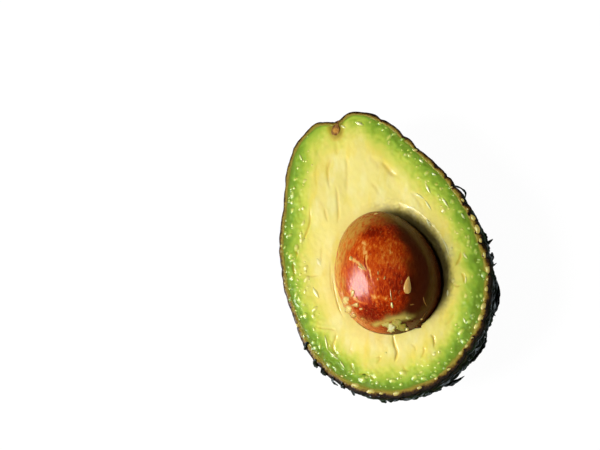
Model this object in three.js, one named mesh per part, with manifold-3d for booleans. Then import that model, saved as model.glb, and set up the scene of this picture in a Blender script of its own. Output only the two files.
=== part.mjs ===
// Half an avocado, cut lengthwise through the stem and lying on its back with the seed in place.
// Four pieces: the pebbled skin, the flesh that fills it, the seed in its cavity, and the woody stem stub.
//
// Lengths are millimetres. +Z is up, +Y points to the stem end, and the origin is the middle of the
// footprint at the height of the surface the half lies on. The shapes are worked out in the fruit's
// own frame, whose origin is the middle of the seed's cavity on the plane of the cut.
import * as THREE from "three";
import { mergeVertices } from "three/addons/utils/BufferGeometryUtils.js";
import Module from "manifold-3d";

const wasm = await Module();
wasm.setup();

// ---------- Driving dimensions ----------

// Radius of the cut face about the fruit's origin, every 15 degrees from the stem end down each side.
const LEFT_RADII = [60.5, 57.5, 48, 42, 38.5, 36.5, 35.5, 36.5, 38, 39.5, 40.5, 41, 40.5];
const RIGHT_RADII = [60.5, 55.5, 45.5, 39.5, 36, 34, 33, 33.5, 34.5, 36, 37.5, 39, 40.5];

const SKIN_THICKNESS = 1.4;
const PIECE_GAP = 0.3;
const FOOT = { height: -33.6, bare: 8, pebbled: 13.5 }; // level of the flat spot, and where pebbles fade

// Pebbles of the skin: spacing of their tops, height over the valleys, radius of each one, and the
// seed of the draw that spreads them.
const PEBBLE = { pitch: 3.7, height: 0.8, radius: 2.85, draw: 7 };

// Torn scales of skin that peel off the back below the rim. Angles are in degrees: `around` from the
// stem end (positive to the right), `below` the cut, and `turn` from the rim's line to the way the
// free tip points (0 is onwards round the rim). `lift` is how far the tip stands off the skin.
const FLAKES = [
  { around: 66, below: 2, length: 7, width: 2.4, turn: 6, lift: 2.2 },
  { around: 95, below: 9, length: 6, width: 3.4, turn: 160, lift: 1.4 },
  { around: 108, below: 14, length: 7, width: 3.2, turn: 200, lift: 2 },
  { around: 127, below: 21, length: 15, width: 6.5, turn: 184, lift: 2.6 },
  { around: 149, below: 20, length: 11, width: 6.5, turn: 188, lift: 1.9 },
  { around: 169, below: 19, length: 10, width: 4.4, turn: 196, lift: 2.4 },
  { around: -176, below: 16, length: 7, width: 4, turn: 170, lift: 1.2 },
  { around: -159, below: 9, length: 6, width: 3.4, turn: 60, lift: 1.9 },
  { around: -143, below: 7, length: 6, width: 3, turn: 20, lift: 1.6 },
  { around: -128, below: 5, length: 5, width: 3, turn: 110, lift: 1.5 },
  { around: -111, below: 4, length: 6, width: 3, turn: 60, lift: 1.6 },
];
const FLAKE = { thickness: 1.2, sunk: 0.7, taper: 0.45 };

// The woody stub in the notch at the stem end: radius along its length, inwards from its outer end.
const STEM_X = 1.6;
const STEM_DIMPLE = { depth: 3.4, radius: 4.2 };
const STEM_OUTER_END = 58.4;
const STEM_PROFILE = [
  { inwards: 0, radius: 1.3 },
  { inwards: 0.5, radius: 2.1 },
  { inwards: 1.5, radius: 2.2 },
  { inwards: 2.6, radius: 1.5 },
  { inwards: 6.2, radius: 1.1 },
];
const STEM_SIDES = 16;

const SEED = { halfWidth: 17.3, halfLength: 21, halfDepth: 17, lift: 0.6, taper: 0.1 };
const CAVITY = { widthScale: 1.09, lengthScale: 1.03, depthScale: 1.02, shift: 1.1 };
const LIP = { reach: 5.5, drop: 2.2, rightShare: 0.45 }; // the flesh rounds over into the cavity

// The cut face rises above the skin's rim over its shoulder, and waves softly: ridges run along the
// fruit and bend, and a longer swell crosses them. Widths and lengths are those of one radian.
const FACE = { rise: 0.5, shoulder: 4.5, wave: 0.28 };
const RIDGE = { width: 3.1, bend: 1.9, bendLength: 9 };
const SWELL = { width: 5, length: 7 };

// Triangles across each face of the icosahedron that a round surface is made from.
const FINENESS = { skin: 24, inner: 11, seed: 9, flake: 2 };
const BALL_TURN = { x: 0.21, y: 0.13 }; // radians, so that no corner lies on the plane of the cut
const SPOKES = 64; // of the cut face and the cavity
const CAVITY_RINGS = 26;
// Rings of the cut face: 1 is the cavity's edge and 2 is the fruit's outline.
const FACE_RINGS = [0.7, 1.03, 1.08, 1.14, 1.21, 1.3, 1.42, 1.55, 1.68, 1.8, 1.9, 2.1];
const SLIVER = 0.03; // edges shorter than this are merged
const SAME_POINT = 1e-4;

const DEGREES = Math.PI / 180;
const HALF_LENGTH = LEFT_RADII[0];

// ---------- Solids ----------

// A closed geometry as a manifold-3d solid.
function toSolid(geometry) {
  const bare = new THREE.BufferGeometry();
  bare.setAttribute("position", geometry.getAttribute("position"));
  if (geometry.index) bare.setIndex(geometry.index);
  const merged = mergeVertices(bare, SAME_POINT);
  return new wasm.Manifold(
    new wasm.Mesh({
      numProp: 3,
      vertProperties: new Float32Array(merged.attributes.position.array),
      triVerts: new Uint32Array(merged.index.array),
    }),
  );
}

// A solid as a flat-shaded geometry.
function toGeometry(solid) {
  const mesh = solid.getMesh();
  const geometry = new THREE.BufferGeometry();
  geometry.setAttribute("position", new THREE.BufferAttribute(mesh.vertProperties, mesh.numProp));
  geometry.setIndex(new THREE.BufferAttribute(mesh.triVerts, 1));
  const facets = geometry.toNonIndexed();
  facets.computeVertexNormals();
  return facets;
}

// The main body of a solid, with any hollow that fusing has sealed filled, any loose scrap dropped
// and the slivers that cutting leaves merged away.
function mainBody(solid) {
  return solid
    .decompose()
    .reduce((a, b) => (b.volume() > a.volume() ? b : a))
    .simplify(SLIVER);
}

// Moves every point of a geometry to where `place` puts it.
function movePoints(geometry, place) {
  const points = geometry.getAttribute("position");
  for (let i = 0; i < points.count; i++) {
    points.setXYZ(i, ...place(new THREE.Vector3().fromBufferAttribute(points, i), i));
  }
  return geometry;
}

// A ball whose points `place` moves: it gets each point's unit direction and returns its position.
function ballGeometry(fineness, place) {
  const geometry = new THREE.IcosahedronGeometry(1, fineness);
  geometry.rotateX(BALL_TURN.x).rotateY(BALL_TURN.y);
  geometry.deleteAttribute("normal");
  geometry.deleteAttribute("uv");
  return movePoints(mergeVertices(geometry, SAME_POINT), (point) => place(point.normalize()));
}

// A box between two heights, wider than the fruit.
function slab(bottom, top) {
  const side = 3 * HALF_LENGTH;
  const box = new THREE.BoxGeometry(side, side, top - bottom);
  return toSolid(box.translate(0, 0, (bottom + top) / 2));
}

// Numbers from 0 to 1 that are the same on every run.
function seededRandom(seed) {
  let state = seed;
  return () => {
    state = (state * 1664525 + 1013904223) % 4294967296;
    return state / 4294967296;
  };
}

// ---------- The fruit's form ----------

// A smooth curve through values at equal steps from 0 to 180 degrees, level at both ends.
function cosineSeries(values) {
  const last = values.length - 1;
  const share = (i) => (i === 0 || i === last ? 0.5 : 1);
  const factors = values.map((_, k) => {
    const terms = values.map((v, j) => share(j) * v * Math.cos((Math.PI * j * k) / last));
    return (2 / last) * share(k) * terms.reduce((a, b) => a + b);
  });
  return (angle) => factors.reduce((sum, factor, k) => sum + factor * Math.cos(k * angle), 0);
}

const leftRadius = cosineSeries(LEFT_RADII);
const rightRadius = cosineSeries(RIGHT_RADII);
const stemDirection = new THREE.Vector3(STEM_X, HALF_LENGTH, 0).normalize();

// Distance from the fruit's origin to its outside. The two side profiles blend into each other
// round the long axis, and a dimple takes the stem.
function fruitRadius(direction) {
  const fromStem = Math.acos(THREE.MathUtils.clamp(direction.y, -1, 1));
  const sideways = direction.x / Math.max(Math.hypot(direction.x, direction.z), 1e-9);
  const form = THREE.MathUtils.lerp(leftRadius(fromStem), rightRadius(fromStem), (1 + sideways) / 2);
  const fromDimple = (direction.angleTo(stemDirection) * form) / STEM_DIMPLE.radius;
  return form - STEM_DIMPLE.depth * Math.exp(-fromDimple * fromDimple);
}

// The whole fruit's outside, with every point moved along its normal by what `lift` gives for it.
function fruitGeometry(fineness, lift) {
  const fruit = ballGeometry(fineness, (direction) => direction.multiplyScalar(fruitRadius(direction)));
  fruit.computeVertexNormals();
  const normals = fruit.getAttribute("normal");
  fruit.deleteAttribute("normal");
  return movePoints(fruit, (point, i) => {
    const normal = new THREE.Vector3().fromBufferAttribute(normals, i);
    return point.clone().addScaledVector(normal, lift(point));
  });
}

// The smooth fruit, a given distance inside its outer form.
function fruitInside(depth) {
  return toSolid(fruitGeometry(FINENESS.inner, () => -depth));
}

// ---------- The skin ----------

// Tops of the pebbles: points of the surface in a shuffled order, never closer than the pitch.
function pebbleTops() {
  const random = seededRandom(PEBBLE.draw);
  const surface = fruitGeometry(FINENESS.skin, () => 0).getAttribute("position");
  const shuffled = Array.from({ length: surface.count }, (_, i) => ({
    point: new THREE.Vector3().fromBufferAttribute(surface, i),
    order: random(),
  })).sort((a, b) => a.order - b.order);
  const tops = [];
  for (const { point } of shuffled)
    if (tops.every((top) => top.distanceTo(point) > PEBBLE.pitch)) tops.push(point);
  return tops;
}

// Height of the pebbled skin over the smooth form at a point of it, bare near the flat spot.
function pebbleRelief(tops) {
  const footMiddle = new THREE.Vector3(0, 0, FOOT.height);
  return (point) => {
    const nearest = Math.min(...tops.map((top) => top.distanceTo(point))) / PEBBLE.radius;
    const shown = THREE.MathUtils.smoothstep(point.distanceTo(footMiddle), FOOT.bare, FOOT.pebbled);
    return PEBBLE.height * (shown * Math.max(0, 1 - nearest * nearest) - 0.5);
  };
}

// A scale that follows the skin from its sunken root and rises to its narrow, free tip.
function flakeSolid({ around, below, length, width, turn, lift }) {
  const place = new THREE.Vector3(
    Math.sin(around * DEGREES) * Math.cos(below * DEGREES),
    Math.cos(around * DEGREES) * Math.cos(below * DEGREES),
    -Math.sin(below * DEGREES),
  );
  const lengthways = new THREE.Vector3(0, 0, -1).cross(place).normalize();
  lengthways.applyAxisAngle(place, turn * DEGREES);
  const sideways = new THREE.Vector3().crossVectors(place, lengthways);
  place.multiplyScalar(fruitRadius(place));
  return toSolid(
    ballGeometry(FINENESS.flake, (u) => {
      const onSkin = place.clone().addScaledVector(lengthways, (u.x * length) / 2);
      onSkin.addScaledVector(sideways, (u.y * width * (1 - FLAKE.taper * u.x)) / 2).normalize();
      const along = (1 + u.x) / 2;
      const rise = (FLAKE.sunk + lift) * along * along - FLAKE.sunk;
      return onSkin.multiplyScalar(fruitRadius(onSkin) + rise + (u.z * FLAKE.thickness) / 2);
    }),
  );
}

function makeSkin() {
  let outside = toSolid(fruitGeometry(FINENESS.skin, pebbleRelief(pebbleTops())));
  for (const flake of FLAKES) outside = outside.add(flakeSolid(flake));
  const half = mainBody(outside).intersect(slab(FOOT.height, 0));
  return mainBody(half.subtract(fruitInside(SKIN_THICKNESS)).subtract(stemPlug(PIECE_GAP)));
}

// ---------- The seed and its cavity ----------

// Position of a point of the seed's egg form, narrower to the stem end, from its unit direction.
function onEgg({ x, y, z }, widthScale, lengthScale, depthScale) {
  const narrowing = 1 - SEED.taper * y;
  return new THREE.Vector3(
    x * SEED.halfWidth * widthScale * narrowing,
    y * SEED.halfLength * lengthScale,
    z * SEED.halfDepth * depthScale * narrowing + SEED.lift,
  );
}

function onCavity(direction) {
  const point = onEgg(direction, CAVITY.widthScale, CAVITY.lengthScale, CAVITY.depthScale);
  return point.setX(point.x + CAVITY.shift);
}

function makeSeed() {
  return toSolid(ballGeometry(FINENESS.seed, (direction) => onEgg(direction, 1, 1, 1)));
}

// The cavity's spokes stand under those of the cut face, which keeps its edge clean.
function cavitySolid() {
  const ball = new THREE.SphereGeometry(1, SPOKES, CAVITY_RINGS).rotateX(Math.PI / 2);
  return toSolid(movePoints(ball, onCavity));
}

// ---------- The flesh ----------

// Height of the cut face over the plane of the cut: it swells a little inside the skin, waves
// softly and rounds over into the cavity, most on the right.
function faceHeight(point, outline, cavityEdge) {
  const { x, y } = point;
  const fromOutline = outline.distanceTo(point) - SKIN_THICKNESS;
  const inside = THREE.MathUtils.smoothstep(fromOutline, 0, FACE.shoulder);
  const ridges = Math.sin((x + RIDGE.bend * Math.sin(y / RIDGE.bendLength)) / RIDGE.width);
  const swell = Math.sin(x / SWELL.width + y / SWELL.length);
  const side = 1 - LIP.rightShare + (LIP.rightShare * x) / Math.max(Math.hypot(x, y), 1);
  const lip = 1 - THREE.MathUtils.smoothstep(cavityEdge.distanceTo(point), 0, LIP.reach);
  return inside * (FACE.rise + FACE.wave * (ridges + swell)) - LIP.drop * side * lip * lip;
}

// Everything under the cut face, as a round block whose top carries its relief in rings and spokes.
function underFace() {
  const depth = 2 * Math.abs(FOOT.height);
  const profile = [0, ...FACE_RINGS].map((ring) => new THREE.Vector2(ring, 0));
  profile.push(new THREE.Vector2(FACE_RINGS.at(-1), -depth), new THREE.Vector2(0, -depth));
  const block = new THREE.LatheGeometry(profile.reverse(), SPOKES).rotateX(Math.PI / 2);
  return toSolid(
    movePoints(block, (point) => {
      const ring = Math.hypot(point.x, point.y);
      const spoke = new THREE.Vector3(point.x, point.y, 0).normalize();
      const outline = spoke.clone().multiplyScalar(fruitRadius(spoke));
      const cavityEdge = onCavity(spoke).setZ(0);
      const flat = new THREE.Vector3(CAVITY.shift, 0, 0).lerp(cavityEdge, Math.min(ring, 1));
      if (ring > 1) flat.lerp(outline, ring - 1);
      return flat.setZ(point.z < -depth / 2 ? -depth : faceHeight(flat, outline, cavityEdge));
    }),
  );
}

function makeFlesh() {
  const half = fruitInside(SKIN_THICKNESS + PIECE_GAP).intersect(underFace());
  return mainBody(half.subtract(cavitySolid()).subtract(stemPlug(PIECE_GAP)));
}

// ---------- The stem stub ----------

// A flared plug along the long axis, grown by `clearance` on every side.
function stemPlug(clearance) {
  const outer = STEM_OUTER_END + clearance;
  const inner = STEM_OUTER_END - STEM_PROFILE.at(-1).inwards - clearance;
  const wall = STEM_PROFILE.map(
    ({ inwards, radius }) => new THREE.Vector2(radius + clearance, STEM_OUTER_END - inwards),
  ).reverse();
  wall[0].y = inner;
  wall.at(-1).y = outer;
  const profile = [new THREE.Vector2(0, inner), ...wall, new THREE.Vector2(0, outer)];
  return toSolid(new THREE.LatheGeometry(profile, STEM_SIDES).translate(STEM_X, 0, 0));
}

// The plug is cut through with the fruit, level with the face.
function makeStem() {
  return stemPlug(0).intersect(slab(FOOT.height, FACE.rise));
}

// ---------- The assembly ----------

const MATERIALS = {
  skin: new THREE.MeshStandardMaterial({ color: 0x1c2a14, roughness: 0.45, metalness: 0 }),
  flesh: new THREE.MeshStandardMaterial({ color: 0xe8dc78, roughness: 0.35, metalness: 0 }),
  seed: new THREE.MeshStandardMaterial({ color: 0x8e3412, roughness: 0.25, metalness: 0 }),
  stem: new THREE.MeshStandardMaterial({ color: 0x6f4a2a, roughness: 0.8, metalness: 0 }),
};

const solids = {
  skin: makeSkin(),
  flesh: makeFlesh(),
  seed: makeSeed(),
  stem: makeStem(),
};

const avocadoHalf = new THREE.Group();
for (const [name, solid] of Object.entries(solids)) {
  const mesh = new THREE.Mesh(toGeometry(solid), MATERIALS[name]);
  mesh.name = name;
  avocadoHalf.add(mesh);
}

// The fruit's frame is moved so that the footprint's middle and the flat spot's level are the origin.
const bounds = new THREE.Box3().setFromObject(avocadoHalf);
const middle = bounds.getCenter(new THREE.Vector3());
avocadoHalf.position.set(-middle.x, -middle.y, -bounds.min.z);

export default avocadoHalf;
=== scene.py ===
"""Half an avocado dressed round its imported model.

The pebbled skin has torn scales below its cut rim, the moist flesh has creases and beads of juice,
the glossy mottled seed has crumbs of flesh on it, and a woody stem stub fills the notch. The forms
are worked out in millimetres in the fruit's own frame, whose origin is the middle of the seed's
cavity on the plane of the cut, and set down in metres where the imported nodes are.
"""

from math import atan2, cos, pi, radians, sin

import bpy
import numpy as np
from mathutils import Matrix, Vector, noise


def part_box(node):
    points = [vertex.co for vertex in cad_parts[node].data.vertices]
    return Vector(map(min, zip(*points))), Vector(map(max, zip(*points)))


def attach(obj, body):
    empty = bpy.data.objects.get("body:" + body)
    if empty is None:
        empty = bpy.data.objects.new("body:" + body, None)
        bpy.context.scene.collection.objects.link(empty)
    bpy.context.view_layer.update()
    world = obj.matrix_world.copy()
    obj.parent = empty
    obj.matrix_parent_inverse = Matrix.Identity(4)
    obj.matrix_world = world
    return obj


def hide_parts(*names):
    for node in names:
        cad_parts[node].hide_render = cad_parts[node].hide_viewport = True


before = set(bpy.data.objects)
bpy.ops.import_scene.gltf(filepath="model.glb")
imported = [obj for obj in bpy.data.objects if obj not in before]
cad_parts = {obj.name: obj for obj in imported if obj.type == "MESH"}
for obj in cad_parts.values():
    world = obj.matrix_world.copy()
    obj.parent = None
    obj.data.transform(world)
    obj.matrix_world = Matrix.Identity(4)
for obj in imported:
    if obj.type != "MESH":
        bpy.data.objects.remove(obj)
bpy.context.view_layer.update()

# ---------- Driving dimensions, in millimetres and degrees ----------

# Radius of the cut face, every 15 degrees from the stem end down each side.
LEFT_RADII = (60.5, 57.5, 48, 42, 38.5, 36.5, 35.5, 36.5, 38, 39.5, 40.5, 41, 40.5)
RIGHT_RADII = (60.5, 55.5, 45.5, 39.5, 36, 34, 33, 33.5, 34.5, 36, 37.5, 39, 40.5)
# What an angle round the fruit comes to along its rim, and an angle below the cut down its side.
RIM_RADIUS, DOWN_PER_DEGREE = 38, 0.7

SKIN_THICKNESS = 1.4
# Large and small pebbles of the skin: their pitch and their height.
LARGE_PITCH, LARGE_HEIGHT, SMALL_PITCH, SMALL_HEIGHT = 4.3, 0.95, 1.9, 0.3
# The skin's cut edge from the outside in: steps over its dark edge and then its tan roll, as shares
# of the width of each, and the heights of them all.
DARK_STEPS, ROLL_STEPS = (0.12, 0.35, 0.7, 1.0), (0.15, 0.3, 0.45, 0.6, 0.75, 0.9, 1.0)
CUT_HEIGHTS = (0.05, 0.07, 0.08, 0.1, 0.16, 0.22, 0.26, 0.28, 0.27, 0.22, 0.08)
# The flat spot's height, and how far about it the skin is bare, and then fully pebbled.
FOOT_HEIGHT, FOOT_BARE, FOOT_PEBBLED = -33.6, 8, 13.5
STEM_X, STEM_OUTER_END = 1.6, 57.5
DIMPLE_DEPTH, DIMPLE_RADIUS = 3.4, 4.2

# The seed's half widths to its left and right, half length, half depth, rise and narrowing.
SEED_LEFT, SEED_RIGHT, SEED_LENGTH, SEED_DEPTH = 17.8, 16.6, 21.2, 17
SEED_LIFT, SEED_TAPER = 0.6, 0.1
# The cavity's width, length and depth beside the seed's, and its shift to the right.
CAVITY = (1.02, 1.006, 1.01, 0.38)
# The cavity's rounded lip: how wide it is, how far it drops, its least share, and its curve.
LIP_REACH, LIP_DROP, LIP_LEAST, LIP_POWER = 4.4, 2.6, 0.1, 1.3
# The face's height at the skin, its rise over a shoulder, and the height and size of its waves.
FACE_EDGE, FACE_RISE, FACE_SHOULDER, FACE_WAVE = 0.22, 0.26, 4.5, 0.12
RIDGE_WIDTH, RIDGE_BEND, RIDGE_LENGTH = 3.1, 1.9, 9
SWELL_WIDTH, SWELL_LENGTH = 5, 7
# The grain of the flesh and of the seed runs this many degrees to the right of the stem end.
GRAIN = 24

# Torn scales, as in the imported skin: angles round from the stem end and below the cut, length,
# width, the way the free tip points and how far it stands off.
SCALES = (
    (95, 9, 6, 3.4, 160, 0.9), (108, 14, 7, 3.2, 200, 0.7), (-176, 16, 7, 4, 170, 1),
    (-159, 9, 6, 3.4, 60, 1.2), (-143, 7, 6, 3, 20, 1), (-128, 5, 5, 3, 110, 0.9),
    (-111, 4, 6, 3, 60, 1),
)
SCALE_THICKNESS, SCALE_SUNK, SCALE_TAPER = 0.9, 0.7, 0.45
SMALL_SCALES = 46

# The photograph's size, in pixels. The marks below are placed by its pixels, on what carries them.
PHOTO = (600, 450)

# Torn flaps and wisps of peel: half widths along each, and the pixels along it from its root.
FLAPS = (
    ((0.6, 0.9, 1.0, 0.8, 0.12), (492, 320), (495, 309), (497, 299), (497.8, 290), (496.8, 280.5)),
    ((0.8, 0.8, 0.6, 0.1), (491, 304), (493, 295), (494.8, 287), (496, 279)),
    ((0.9, 1.1, 1.2, 0.6), (470, 364), (475.5, 355), (481, 347), (485.6, 339.5)),
    ((0.4, 0.4, 0.1), (482, 345), (485.5, 339), (487, 334)),
    ((0.9, 0.9, 0.6, 0.1), (443, 386.5), (452, 383), (458, 380.3), (464.5, 376)),
    ((0.8, 0.7, 0.3), (428, 391.5), (435, 390.5), (441.5, 389)),
    ((0.3, 0.3, 0.26, 0.36, 0.1), (453.5, 183.6), (457.5, 186.6), (461.5, 188.6), (465.4, 192.6),
     (465.2, 198.5)),
    ((0.6, 0.65, 0.15), (484.5, 246), (488.5, 242.6), (492.8, 239.2)),
    ((0.7, 0.7, 0.4), (482, 232), (485.2, 236), (486.8, 242)),
    ((0.7, 0.7, 0.3), (490.5, 262), (492, 257), (492, 252.5)),
    ((0.4, 0.26, 0.1), (491.5, 267), (494, 265), (496.5, 263)),
    ((0.7, 0.5, 0.12), (489, 309), (492.5, 313), (495.4, 316)),
    ((0.5, 0.7, 0.4), (306.2, 343.6), (305.5, 346.8), (305, 349.8)),
    ((0.45, 0.65, 0.4), (313.9, 361), (315, 364.6), (317.4, 367.6)),
    ((0.45, 0.65, 0.4), (320.8, 370.2), (323.3, 373), (326.2, 375.2)),
    ((0.4, 0.45, 0.25), (352.5, 391), (353.5, 393.5), (354.5, 395.5)),
    ((0.6, 0.75, 0.4), (380, 398), (383, 400.5), (386.5, 402.5)),
    ((0.45, 0.45, 0.3), (341, 384.5), (342, 386.5), (345, 388.5)),
    ((0.35, 0.35, 0.15), (360, 394), (366, 396), (371, 396.5)),
    ((0.35, 0.35, 0.15), (331, 379), (334, 383), (338, 385.5)),
)
# Creases in the cut face: half width and depth, and the pixels along each.
CREASES = (
    (0.5, 0.3, (332, 157), (329, 164), (327.5, 172), (328.5, 181), (330, 192)),
    (0.55, 0.34, (335.5, 183), (337, 193), (338, 205), (338.5, 216), (337, 226)),
    (0.7, 0.22, (344, 154), (346.5, 160), (347, 172), (346.5, 186), (346, 198)),
    (0.8, 0.2, (336, 138), (336.5, 148), (337, 156)),
    (0.42, 0.42, (310, 203), (310.3, 214), (309.5, 224), (306, 234), (303, 241), (302, 249)),
    (0.5, 0.25, (325, 207), (326, 215), (328.5, 223)),
    (0.5, 0.16, (322, 243), (321.5, 254), (321.5, 264)),
    (0.45, 0.36, (293, 250), (296.5, 251), (297, 255), (295, 259)),
    (0.5, 0.5, (293, 261), (293.5, 269), (296, 277)),
    (0.45, 0.14, (302, 274), (311, 276), (320, 275)),
    (0.34, 0.3, (333, 272), (333.5, 284), (335.5, 295), (339, 308), (345, 320)),
    (0.34, 0.16, (330.5, 258), (330.5, 272), (331.5, 286), (334, 298)),
    (0.45, 0.18, (311, 325), (322, 328), (332, 329), (336, 331)),
    (0.5, 0.36, (336.5, 330), (335.5, 338), (333, 345), (334, 351), (341, 356)),
    (0.5, 0.75, (393, 330), (393.5, 340), (395, 346), (397, 352), (396, 358), (394.5, 363)),
    (0.7, 0.14, (386, 334), (380, 337), (377, 341)),
    (0.4, 0.2, (402, 366), (406, 370), (410, 371)),
    (0.45, 0.24, (374, 358), (380, 357), (379, 361), (376, 365)),
    (0.42, 0.5, (430, 334), (433.5, 337), (434.3, 342), (434, 349)),
    (0.45, 0.26, (423, 346), (424.5, 350), (423, 355), (419.5, 359)),
    (0.45, 0.26, (350.5, 361), (352.5, 369), (355.5, 375)),
    (0.45, 0.34, (356, 374), (366, 374.5), (372, 377), (375, 380)),
    (0.9, 0.38, (376, 159), (384, 164), (388.5, 169.5), (393, 174), (400, 177)),
    (1.0, 0.16, (368, 155), (376, 162), (382, 170)),
    (0.45, 0.2, (399, 202), (400, 211)),
    (0.8, 0.16, (370, 182), (377, 188), (380, 196)),
    (0.5, 0.5, (462, 250), (459.5, 259), (455, 267)),
    (0.45, 0.55, (461, 272), (464, 277), (464.5, 284)),
    (0.45, 0.3, (452, 283), (457, 286), (461, 284)),
    (0.6, 0.2, (444, 325), (450, 320), (456, 312)),
    (0.5, 0.16, (410, 343), (415, 347), (416, 352)),
    (0.5, 0.12, (352, 340), (350, 348), (353, 355)),
    (0.6, 0.16, (318, 160), (316, 175), (317, 190)),
    (0.7, 0.2, (409, 190), (418, 200), (424, 212)),
)
# Raised wet streaks on the face, which catch the light: half width and height, and pixels.
STREAKS = (
    (0.36, 0.36, (299, 154), (302.8, 161)), (0.6, 0.5, (355.5, 122), (363.5, 125.3)),
    (0.42, 0.32, (340.5, 125), (346, 128.5)), (0.45, 0.42, (419, 158.5), (423.3, 163)),
    (0.45, 0.4, (431.5, 172.8), (436.8, 175.5)), (0.4, 0.34, (425, 182.5), (430.8, 194)),
    (0.42, 0.36, (415.5, 193), (424.5, 199.5)), (0.42, 0.38, (424.8, 200), (431.3, 210.5)),
    (0.46, 0.42, (441.5, 197), (449, 208)), (0.42, 0.38, (461, 213), (465, 219)),
    (0.42, 0.4, (426.5, 219), (430, 227)), (0.34, 0.36, (442, 238), (446, 246), (449.5, 258)),
    (0.42, 0.4, (463, 253), (467.5, 259)), (0.4, 0.36, (466, 276), (465.5, 284)),
    (0.36, 0.34, (447.5, 289), (447, 296)), (0.4, 0.36, (463, 317), (466, 324)),
    (0.6, 0.42, (313, 287.5), (318.8, 298)), (0.7, 0.16, (317, 258), (321, 266)),
    (0.38, 0.42, (324.8, 335), (328, 350.5)), (0.4, 0.42, (328.5, 350.5), (338.5, 360)),
    (0.38, 0.4, (339.5, 360.5), (345, 368.5)),
)
# Drops on the face: pixel, and half size.
DROPS = (
    (292, 202, 0.5), (292.5, 210, 0.6), (303.5, 208, 0.42), (303.6, 223, 0.5), (301, 235, 0.55),
    (287.5, 236, 0.5), (285, 247, 0.5), (296.5, 247.5, 0.75), (287, 253, 0.42), (291, 255.5, 0.7),
    (296, 270, 0.4), (292, 277.5, 0.7), (298, 280, 0.36), (296.5, 284, 0.34), (297.7, 287.5, 0.36),
    (300, 290.5, 0.34), (290.5, 298, 0.5), (296, 310.3, 0.46), (301.5, 316, 0.46),
    (305.5, 315, 0.75), (313.5, 316, 0.55), (314, 329, 0.4), (304, 336, 0.44), (320, 346, 0.55),
    (319, 353, 0.36), (325.5, 359, 0.36), (329, 364, 0.42), (363, 379, 1.0), (359.5, 378.5, 0.4),
    (372, 380, 0.42), (377.5, 383, 0.42), (381, 386, 0.3), (386, 386.5, 0.3), (388, 379, 0.36),
    (398, 378, 0.36), (401, 384, 0.5), (403, 373, 0.75), (415, 377, 0.7), (418, 381, 0.5),
    (421.5, 372, 0.44), (434.5, 354, 0.5), (439, 363, 0.44), (446, 363, 0.45), (444, 368, 0.34),
    (386, 353, 0.34), (306.5, 161, 0.32), (312, 165, 0.32), (298, 168, 0.42), (308, 172, 0.3),
    (308.5, 151, 0.28), (307.5, 136.5, 0.3), (296, 179, 0.46), (294.5, 188, 0.42), (292, 191, 0.34),
    (303.5, 185, 0.3), (389, 142, 0.4), (402, 139.5, 0.4), (402, 150, 0.3), (408, 150, 0.3),
    (411, 152.5, 0.46), (413, 149, 0.3), (419, 178, 0.34), (426, 182, 0.36), (436.5, 184.5, 0.5),
    (441, 189, 0.42), (379.5, 123.5, 0.5), (383, 129.5, 0.44), (471, 247, 0.4), (478, 262, 0.4),
    (480, 270, 0.36), (453, 280, 0.4), (466, 237, 0.4), (451.5, 248.5, 0.44), (469, 228, 0.5),
    (477, 305, 0.4), (473, 318, 0.4), (470, 327, 0.42), (459, 341, 0.4), (452, 352, 0.36),
    (318, 337.5, 0.3), (334, 367, 0.4), (346, 375, 0.34), (352, 380, 0.36),
)
# Beads of juice and flesh along the green margin: stretches of it, from and to an angle round from
# the stem end, with how many each holds and how far in from the skin they reach.
BEAD_STRETCHES = (
    (-100, -16, 40, 8), (-180, -100, 22, 6), (130, 180, 26, 7), (60, 130, 30, 7), (10, 60, 20, 6),
)
# Pale beads of flesh on the skin's tan inner edge: pixel, and half size.
RIM_BEADS = (
    (472.5, 218, 0.75), (476.5, 228.5, 1.0), (480, 240, 0.55), (484, 254, 0.7), (487, 269, 0.8),
    (487.3, 279, 0.5), (486, 289, 0.7), (484, 299, 0.6), (482.5, 306.5, 0.9), (480, 317.5, 1.0),
    (476, 326, 0.9), (471.5, 338, 0.5), (466.2, 346, 0.7), (460.3, 353, 0.7), (448.5, 369, 0.5),
    (436, 378, 0.5), (419, 387.5, 0.6), (396.5, 393, 0.9), (381, 393, 0.5), (371, 391, 1.0),
    (355.5, 385.3, 1.0), (342, 376, 0.5), (327, 363, 0.45), (316, 352, 0.4), (310, 345, 0.55),
    (304, 336, 0.6), (297, 325, 0.4), (281.5, 245.5, 0.55), (462, 200, 0.5), (451, 187, 0.45),
    (414.4, 150, 0.6), (380, 123, 0.6), (285, 283, 0.35), (467.5, 209, 0.5),
)
# Lighter and redder blotches on the seed: how much lighter, reach and pixel. The lighter one at
# pixel (361, 285) lies under the lamp's highlight and is a painted highlight.
SEED_BLOTCHES = (
    (-0.14, 2.6, (368, 232)), (-0.12, 6, (391, 230)), (-0.2, 6, (380, 313)),
    (-0.12, 3.5, (361, 287)), (-0.1, 4, (366, 318)), (0.08, 4.2, (361, 285)),
    (-0.04, 3.5, (357, 253)), (0.1, 2.2, (363, 247)), (-0.03, 3, (343, 284)), (0.01, 5, (383, 262)),
    (-0.2, 4.5, (401, 285)), (0.08, 4, (344, 240)), (0.04, 3, (372, 330)),
)
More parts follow.
